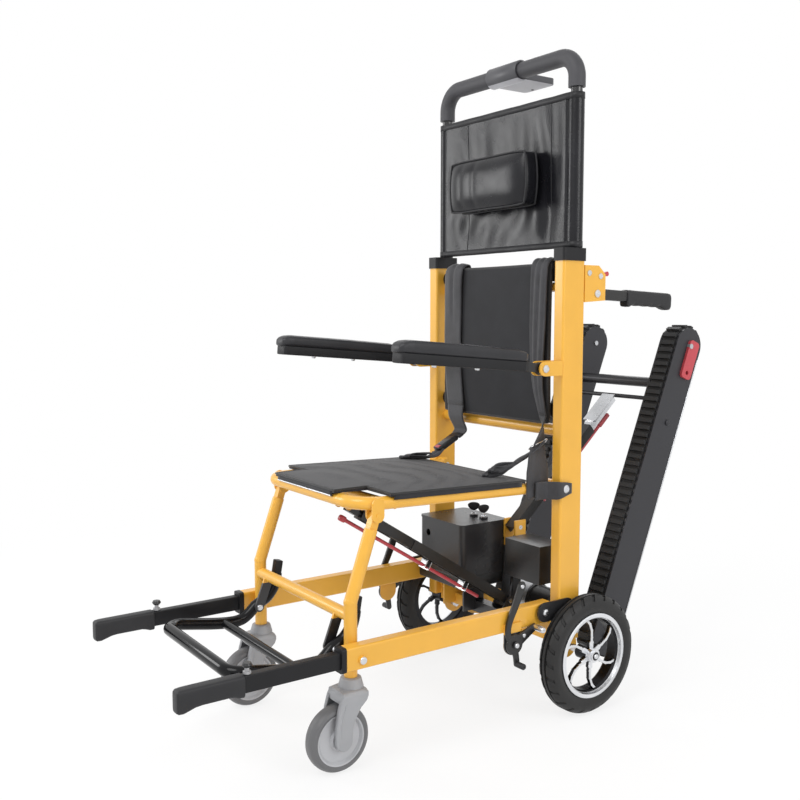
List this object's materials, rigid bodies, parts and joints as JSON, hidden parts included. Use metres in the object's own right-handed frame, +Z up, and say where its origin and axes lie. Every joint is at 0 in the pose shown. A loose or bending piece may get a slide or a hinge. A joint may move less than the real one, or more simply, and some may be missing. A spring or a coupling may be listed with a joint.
{
  "type": "stair climbing wheelchair",
  "caption": "Powered stair climbing wheelchair: folding yellow frame, padded seat and back, push bar, carry handles, cleated crawler tracks that swing out, spoked rear wheels and casters.",
  "frame": {"origin": "floor level under the middle of the bounding box", "axes": "+Z up, the sitter faces -Y, +X is the sitter's left side"},
  "size_m": [0.563, 1.3441, 1.3785],
  "materials": {
    "yellow": "gloss powder coat",
    "black_metal": "satin black",
    "track_alloy": "dark anodised",
    "alloy": "satin",
    "steel": "zinc plated",
    "motor": "satin",
    "plastic": "fine grain",
    "cell": "shrink wrapped cells",
    "red": "moulded",
    "grey_plastic": "moulded",
    "rubber": "matte",
    "foam": "closed cell foam",
    "leather": "soft black",
    "fabric": "woven",
    "webbing": "woven webbing"
  },
  "bodies": {
    "frame": {"rear_posts": "yellow", "post_collars": "plastic", "chassis_frame": "yellow", "post_brackets": "yellow", "lower_back_panel": "fabric", "wheel_axle": "steel", "battery_case": "plastic", "battery_lid": "plastic", "battery_pack": "cell", "controller_box": "black_metal", "drive_motor": "motor", "gearbox": "alloy", "shoulder_straps": "webbing", "frame_bolts": "steel"},
    "push_handle": {"push_bar_tube": "black_metal", "push_bar_foam": "foam", "control_box": "plastic", "upper_back_panel": "leather", "headrest_pad": "leather"},
    "rocker": {"direction_rocker": "plastic"},
    "left_arm": {"left_armrest": "plastic"},
    "right_arm": {"right_armrest": "plastic"},
    "left_grip": {"left_rear_handle": "plastic"},
    "right_grip": {"right_rear_handle": "plastic"},
    "left_latch": {"left_handle_latch": "red"},
    "right_latch": {"right_handle_latch": "red"},
    "seat": {"seat_frame": "yellow", "seat_sling": "fabric", "lap_belts": "webbing"},
    "rails": {"side_rails": "yellow", "rail_sockets": "plastic"},
    "legs": {"front_legs": "yellow"},
    "foot": {"footrest": "black_metal"},
    "left_carry": {"left_carry_handle": "plastic"},
    "right_carry": {"right_carry_handle": "plastic"},
    "left_pin": {"left_lock_pin": "plastic"},
    "right_pin": {"right_lock_pin": "plastic"},
    "left_fork": {"left_caster_fork": "grey_plastic"},
    "right_fork": {"right_caster_fork": "grey_plastic"},
    "left_caster": {"left_caster_wheel": "grey_plastic"},
    "right_caster": {"right_caster_wheel": "grey_plastic"},
    "left_wheel": {"left_rim": "alloy", "left_tyre": "rubber"},
    "right_wheel": {"right_rim": "alloy", "right_tyre": "rubber"},
    "tracks": {"track_beams": "track_alloy", "track_belts": "rubber", "track_end_slides": "red"},
    "track_drive": {"drive_shaft": "steel"},
    "track_idlers": {"idler_rollers": "alloy"},
    "strut": {"track_strut": "black_metal"},
    "strut_slide": {"track_strut_slide": "steel"},
    "strut_latch": {"track_latch": "red"},
    "seat_stay": {"seat_strut": "black_metal"},
    "seat_stay_rod": {"seat_strut_rod": "steel"},
    "seat_release": {"seat_release_bar": "red"},
    "left_brake": {"left_brake_lever": "black_metal"},
    "right_brake": {"right_brake_lever": "black_metal"},
    "key_switch": {"ignition_key": "plastic"},
    "battery_lock": {"battery_key": "plastic"}
  },
  "joints": [
    {"name": "push_bar_height", "type": "slide", "parent": "frame", "child": "push_handle", "axis": [0, 0, 1], "range_m": [-0.1, 0], "deforming": ["upper_back_panel"]},
    {"name": "rocker_tilt", "type": "hinge", "parent": "push_handle", "child": "rocker", "pos_m": [0, 0.26952, 1.35], "axis": [1, 0, 0], "range_deg": [-8, 8], "stiffness_Nm_per_rad": 0.3},
    {"name": "seat_fold", "type": "hinge", "parent": "frame", "child": "seat", "pos_m": [0, 0.17102, 0.474], "axis": [-1, 0, 0], "range_deg": [0, 48]},
    {"name": "rail_fold", "type": "hinge", "parent": "frame", "child": "rails", "pos_m": [0, 0.11702, 0.223], "axis": [-1, 0, 0], "range_deg": [0, 48]},
    {"name": "leg_fold", "type": "hinge", "parent": "rails", "child": "legs", "pos_m": [0, -0.32298, 0.214], "axis": [-1, 0, 0], "range_deg": [-48, 0]},
    {"name": "footrest_fold", "type": "hinge", "parent": "legs", "child": "foot", "pos_m": [0, -0.34698, 0.222], "axis": [-1, 0, 0], "range_deg": [0, 90]},
    {"name": "left_armrest_lift", "type": "hinge", "parent": "frame", "child": "left_arm", "pos_m": [0.213, 0.11202, 0.724], "axis": [-1, 0, 0], "range_deg": [0, 85]},
    {"name": "left_handle_fold", "type": "hinge", "parent": "frame", "child": "left_grip", "pos_m": [0.213, 0.25502, 0.876], "axis": [-1, 0, 0], "range_deg": [0, 90]},
    {"name": "left_latch_press", "type": "hinge", "parent": "frame", "child": "left_latch", "pos_m": [0.213, 0.26402, 0.912], "axis": [-1, 0, 0], "range_deg": [0, 20], "stiffness_Nm_per_rad": 0.4, "springref_deg": -11.46},
    {"name": "left_carry_slide", "type": "slide", "parent": "rails", "child": "left_carry", "axis": [0, 1, 0], "range_m": [0, 0.16]},
    {"name": "left_pin_pull", "type": "slide", "parent": "left_carry", "child": "left_pin", "axis": [0, 0, 1], "range_m": [0, 0.008], "stiffness_N_per_m": 800, "springref_m": -0.003},
    {"name": "left_caster_swivel", "type": "hinge", "parent": "legs", "child": "left_fork", "pos_m": [0.182, -0.32298, 0.172], "axis": [0, 0, 1], "continuous": true},
    {"name": "left_caster_roll", "type": "hinge", "parent": "left_fork", "child": "left_caster", "pos_m": [0.182, -0.35298, 0.0625], "axis": [1, 0, 0], "continuous": true},
    {"name": "left_wheel_roll", "type": "hinge", "parent": "frame", "child": "left_wheel", "pos_m": [0.2555, 0.21402, 0.125], "axis": [1, 0, 0], "continuous": true},
    {"name": "left_brake_press", "type": "hinge", "parent": "rails", "child": "left_brake", "pos_m": [0.232, 0.03402, 0.172], "axis": [-1, 0, 0], "range_deg": [0, 18]},
    {"name": "right_armrest_lift", "type": "hinge", "parent": "frame", "child": "right_arm", "pos_m": [-0.213, 0.11202, 0.724], "axis": [-1, 0, 0], "range_deg": [0, 85]},
    {"name": "right_handle_fold", "type": "hinge", "parent": "frame", "child": "right_grip", "pos_m": [-0.213, 0.25502, 0.876], "axis": [-1, 0, 0], "range_deg": [0, 90]},
    {"name": "right_latch_press", "type": "hinge", "parent": "frame", "child": "right_latch", "pos_m": [-0.213, 0.26402, 0.912], "axis": [-1, 0, 0], "range_deg": [0, 20], "stiffness_Nm_per_rad": 0.4, "springref_deg": -11.46},
    {"name": "right_carry_slide", "type": "slide", "parent": "rails", "child": "right_carry", "axis": [0, 1, 0], "range_m": [0, 0.16]},
    {"name": "right_pin_pull", "type": "slide", "parent": "right_carry", "child": "right_pin", "axis": [0, 0, 1], "range_m": [0, 0.008], "stiffness_N_per_m": 800, "springref_m": -0.003},
    {"name": "right_caster_swivel", "type": "hinge", "parent": "legs", "child": "right_fork", "pos_m": [-0.182, -0.32298, 0.172], "axis": [0, 0, 1], "continuous": true},
    {"name": "right_caster_roll", "type": "hinge", "parent": "right_fork", "child": "right_caster", "pos_m": [-0.182, -0.35298, 0.0625], "axis": [1, 0, 0], "continuous": true},
    {"name": "right_wheel_roll", "type": "hinge", "parent": "frame", "child": "right_wheel", "pos_m": [-0.2555, 0.21402, 0.125], "axis": [1, 0, 0], "continuous": true},
    {"name": "right_brake_press", "type": "hinge", "parent": "rails", "child": "right_brake", "pos_m": [-0.232, 0.03402, 0.172], "axis": [-1, 0, 0], "range_deg": [0, 18]},
    {"name": "track_deploy", "type": "hinge", "parent": "frame", "child": "tracks", "pos_m": [0, 0.36202, 0.108], "axis": [-1, 0, 0], "range_deg": [0, 40]},
    {"name": "track_drive_turn", "type": "hinge", "parent": "frame", "child": "track_drive", "pos_m": [0, 0.36202, 0.108], "axis": [1, 0, 0], "continuous": true},
    {"name": "track_idler_turn", "type": "hinge", "parent": "tracks", "child": "track_idlers", "pos_m": [0, 0.62198, 0.75794], "axis": [1, 0, 0], "continuous": true},
    {"name": "strut_swing", "type": "hinge", "parent": "frame", "child": "strut", "pos_m": [0, 0.23702, 0.346], "axis": [-1, 0, 0], "range_deg": [0, 38.5]},
    {"name": "strut_extend", "type": "slide", "parent": "strut", "child": "strut_slide", "axis": [0, 0.7414, 0.671], "range_m": [0, 0.184]},
    {"name": "strut_latch_pull", "type": "slide", "parent": "strut", "child": "strut_latch", "axis": [0, 0.7414, 0.671], "range_m": [-0.01, 0], "stiffness_N_per_m": 600, "springref_m": 0.012},
    {"name": "seat_stay_swing", "type": "hinge", "parent": "frame", "child": "seat_stay", "pos_m": [0, 0.20902, 0.178], "axis": [-1, 0, 0], "range_deg": [0, 28.8]},
    {"name": "seat_stay_extend", "type": "slide", "parent": "seat_stay", "child": "seat_stay_rod", "axis": [0, -0.8481, 0.5298], "range_m": [0, 0.147]},
    {"name": "seat_release_pull", "type": "slide", "parent": "seat_stay", "child": "seat_release", "axis": [0, -0.8481, 0.5298], "range_m": [-0.01, 0], "stiffness_N_per_m": 600, "springref_m": 0.012},
    {"name": "ignition_turn", "type": "hinge", "parent": "frame", "child": "key_switch", "pos_m": [-0.09, 0.18902, 0.354], "axis": [0, 0, 1], "range_deg": [0, 90]},
    {"name": "battery_lock_turn", "type": "hinge", "parent": "frame", "child": "battery_lock", "pos_m": [-0.054, 0.18902, 0.354], "axis": [0, 0, 1], "range_deg": [0, 90]}
  ],
  "couplings": [
    {"joint": "rail_fold", "follows": "seat_fold", "ratio": 1},
    {"joint": "leg_fold", "follows": "seat_fold", "ratio": -1},
    {"joint": "seat_stay_swing", "follows": "seat_fold", "ratio": 0.59866},
    {"joint": "seat_stay_extend", "follows": "seat_fold", "m_per_rad": 0.1741},
    {"joint": "strut_swing", "follows": "track_deploy", "ratio": 0.95829},
    {"joint": "strut_extend", "follows": "track_deploy", "m_per_rad": 0.26253},
    {"joint": "track_idler_turn", "follows": "track_drive_turn", "ratio": 1}
  ]
}
